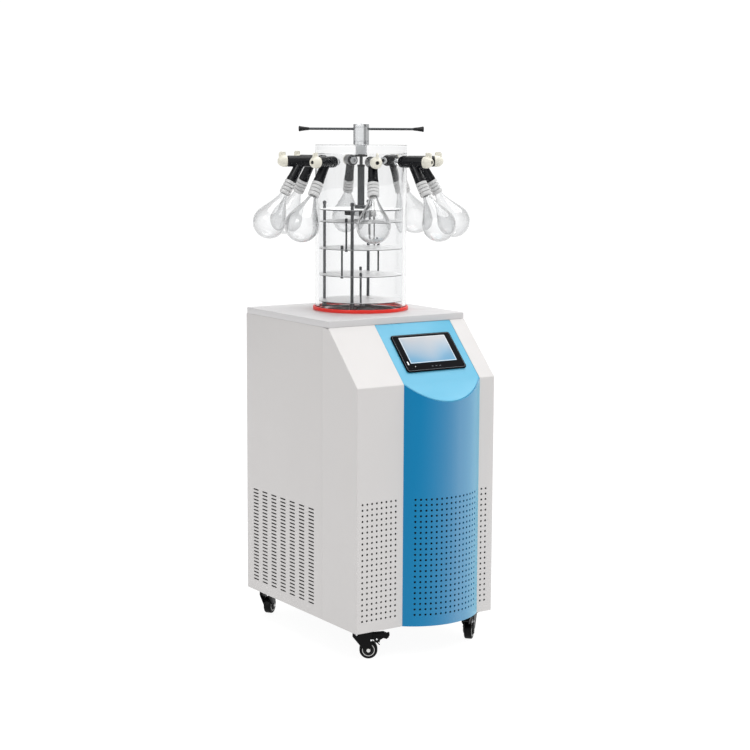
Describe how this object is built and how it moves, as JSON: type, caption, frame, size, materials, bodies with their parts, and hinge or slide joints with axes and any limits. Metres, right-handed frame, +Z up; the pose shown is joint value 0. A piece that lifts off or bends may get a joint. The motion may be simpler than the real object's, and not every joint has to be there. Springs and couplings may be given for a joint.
{
  "type": "freeze dryer",
  "caption": "Floor-standing laboratory freeze dryer: sloping touch-screen console, clear shelf chamber with a stoppering press, and a ring of flask valves.",
  "frame": {"origin": "on the floor, under the middle of the bounding box", "axes": "+Z up, -Y to the front where the console is, +X to the right as seen from the front"},
  "size_m": [0.606, 0.726, 1.456],
  "materials": {
    "panel_paint": "satin powder coat, warm light grey",
    "worktop_paint": "satin light grey",
    "cover_blue": "satin blue, perforated",
    "console_blue": "satin light blue",
    "screen_black": "gloss black",
    "display_glass": "gloss",
    "steel": "brushed",
    "shelf_steel": "brushed",
    "dark_steel": "dark satin",
    "aluminium": "satin",
    "black_plastic": "matt",
    "caster_black": "satin black",
    "wheel_rubber": "matt",
    "valve_rubber": "matt",
    "gasket_rubber": "matt silicone",
    "acrylic": "clear",
    "flask_glass": "clear",
    "knob_ivory": "satin"
  },
  "bodies": {
    "root": {"base_plate": "caster_black", "front_shell": "panel_paint", "front_cover": "cover_blue", "console_panel": "console_blue", "screen_bezel": "screen_black", "display_glass": "display_glass", "side_panel_left": "panel_paint", "side_panel_right": "panel_paint", "back_panel": "panel_paint", "worktop": "worktop_paint", "power_inlet": "black_plastic", "vacuum_port": "steel", "cold_trap": "steel", "gasket_ring": "gasket_rubber", "chamber_tube": "acrylic", "chamber_lid": "acrylic", "lid_gland": "aluminium", "rack_frame": "dark_steel", "shelf_4": "shelf_steel", "valve_1": "valve_rubber", "flask_1": "flask_glass", "valve_2": "valve_rubber", "flask_2": "flask_glass", "valve_3": "valve_rubber", "flask_3": "flask_glass", "valve_4": "valve_rubber", "flask_4": "flask_glass", "valve_5": "valve_rubber", "flask_5": "flask_glass", "valve_6": "valve_rubber", "flask_6": "flask_glass", "valve_7": "valve_rubber", "flask_7": "flask_glass", "valve_8": "valve_rubber", "flask_8": "flask_glass"},
    "handle": {"press_screw": "steel", "handle_hub": "aluminium", "handle_bar": "dark_steel"},
    "platen": {"press_platen": "dark_steel"},
    "shelf_1_body": {"shelf_1": "shelf_steel"},
    "shelf_2_body": {"shelf_2": "shelf_steel"},
    "shelf_3_body": {"shelf_3": "shelf_steel"},
    "knob_1": {"valve_knob_1": "knob_ivory"},
    "knob_2": {"valve_knob_2": "knob_ivory"},
    "knob_3": {"valve_knob_3": "knob_ivory"},
    "knob_4": {"valve_knob_4": "knob_ivory"},
    "knob_5": {"valve_knob_5": "knob_ivory"},
    "knob_6": {"valve_knob_6": "knob_ivory"},
    "knob_7": {"valve_knob_7": "knob_ivory"},
    "knob_8": {"valve_knob_8": "knob_ivory"},
    "caster_front_left": {"caster_fork_front_left": "caster_black"},
    "wheel_front_left": {"caster_wheel_front_left": "wheel_rubber"},
    "pedal_front_left": {"brake_pedal_front_left": "black_plastic"},
    "caster_front_right": {"caster_fork_front_right": "caster_black"},
    "wheel_front_right": {"caster_wheel_front_right": "wheel_rubber"},
    "pedal_front_right": {"brake_pedal_front_right": "black_plastic"},
    "caster_rear_left": {"caster_fork_rear_left": "caster_black"},
    "wheel_rear_left": {"caster_wheel_rear_left": "wheel_rubber"},
    "caster_rear_right": {"caster_fork_rear_right": "caster_black"},
    "wheel_rear_right": {"caster_wheel_rear_right": "wheel_rubber"}
  },
  "joints": [
    {"name": "handle_turn", "type": "hinge", "parent": "root", "child": "handle", "pos_m": [0.00114, 0.06696, 1.44], "axis": [0, 0, -1], "range_deg": [0, 1440]},
    {"name": "platen_slide", "type": "slide", "parent": "root", "child": "platen", "axis": [0, 0, -1], "range_m": [0, 0.032]},
    {"name": "shelf_1_slide", "type": "slide", "parent": "root", "child": "shelf_1_body", "axis": [0, 0, -1], "range_m": [0, 0.024]},
    {"name": "shelf_2_slide", "type": "slide", "parent": "root", "child": "shelf_2_body", "axis": [0, 0, -1], "range_m": [0, 0.016]},
    {"name": "shelf_3_slide", "type": "slide", "parent": "root", "child": "shelf_3_body", "axis": [0, 0, -1], "range_m": [0, 0.008]},
    {"name": "knob_1_turn", "type": "hinge", "parent": "root", "child": "knob_1", "pos_m": [0.08304, -0.13075, 1.349], "axis": [0.3827, -0.9239, 0], "range_deg": [0, 180]},
    {"name": "knob_2_turn", "type": "hinge", "parent": "root", "child": "knob_2", "pos_m": [0.19886, -0.01494, 1.349], "axis": [0.9239, -0.3827, 0], "range_deg": [0, 180]},
    {"name": "knob_3_turn", "type": "hinge", "parent": "root", "child": "knob_3", "pos_m": [0.19886, 0.14885, 1.349], "axis": [0.9239, 0.3827, 0], "range_deg": [0, 180]},
    {"name": "knob_4_turn", "type": "hinge", "parent": "root", "child": "knob_4", "pos_m": [0.08304, 0.26467, 1.349], "axis": [0.3827, 0.9239, 0], "range_deg": [0, 180]},
    {"name": "knob_5_turn", "type": "hinge", "parent": "root", "child": "knob_5", "pos_m": [-0.08075, 0.26467, 1.349], "axis": [-0.3827, 0.9239, 0], "range_deg": [0, 180]},
    {"name": "knob_6_turn", "type": "hinge", "parent": "root", "child": "knob_6", "pos_m": [-0.19657, 0.14885, 1.349], "axis": [-0.9239, 0.3827, 0], "range_deg": [0, 180]},
    {"name": "knob_7_turn", "type": "hinge", "parent": "root", "child": "knob_7", "pos_m": [-0.19657, -0.01494, 1.349], "axis": [-0.9239, -0.3827, 0], "range_deg": [0, 180]},
    {"name": "knob_8_turn", "type": "hinge", "parent": "root", "child": "knob_8", "pos_m": [-0.08075, -0.13075, 1.349], "axis": [-0.3827, -0.9239, 0], "range_deg": [0, 180]},
    {"name": "caster_front_left_swivel", "type": "hinge", "parent": "root", "child": "caster_front_left", "pos_m": [-0.21585, -0.27204, 0.082], "axis": [0, 0, 1], "continuous": true},
    {"name": "wheel_front_left_spin", "type": "hinge", "parent": "caster_front_left", "child": "wheel_front_left", "pos_m": [-0.19838, -0.2837, 0.025], "axis": [0.5548, 0.832, 0], "continuous": true},
    {"name": "pedal_front_left_press", "type": "hinge", "parent": "caster_front_left", "child": "pedal_front_left", "pos_m": [-0.19506, -0.28591, 0.0686], "axis": [0.5548, 0.832, 0], "range_deg": [0, 10]},
    {"name": "caster_front_right_swivel", "type": "hinge", "parent": "root", "child": "caster_front_right", "pos_m": [0.16015, -0.27204, 0.082], "axis": [0, 0, 1], "continuous": true},
    {"name": "wheel_front_right_spin", "type": "hinge", "parent": "caster_front_right", "child": "wheel_front_right", "pos_m": [0.14466, -0.28623, 0.025], "axis": [0.6756, -0.7373, 0], "continuous": true},
    {"name": "pedal_front_right_press", "type": "hinge", "parent": "caster_front_right", "child": "pedal_front_right", "pos_m": [0.14171, -0.28893, 0.0686], "axis": [0.6756, -0.7373, 0], "range_deg": [0, 10]},
    {"name": "caster_rear_left_swivel", "type": "hinge", "parent": "root", "child": "caster_rear_left", "pos_m": [-0.21585, 0.23896, 0.082], "axis": [0, 0, 1], "continuous": true},
    {"name": "wheel_rear_left_spin", "type": "hinge", "parent": "caster_rear_left", "child": "wheel_rear_left", "pos_m": [-0.19931, 0.25189, 0.025], "axis": [-0.6157, 0.788, 0], "continuous": true},
    {"name": "caster_rear_right_swivel", "type": "hinge", "parent": "root", "child": "caster_rear_right", "pos_m": [0.16015, 0.23896, 0.082], "axis": [0, 0, 1], "continuous": true},
    {"name": "wheel_rear_right_spin", "type": "hinge", "parent": "caster_rear_right", "child": "wheel_rear_right", "pos_m": [0.17762, 0.2273, 0.025], "axis": [0.5548, 0.832, 0], "continuous": true}
  ],
  "couplings": [
    {"joint": "platen_slide", "follows": "handle_turn", "m_per_rad": 0.0012732},
    {"joint": "shelf_1_slide", "follows": "handle_turn", "m_per_rad": 0.00095493},
    {"joint": "shelf_2_slide", "follows": "handle_turn", "m_per_rad": 0.00063662},
    {"joint": "shelf_3_slide", "follows": "handle_turn", "m_per_rad": 0.00031831}
  ]
}
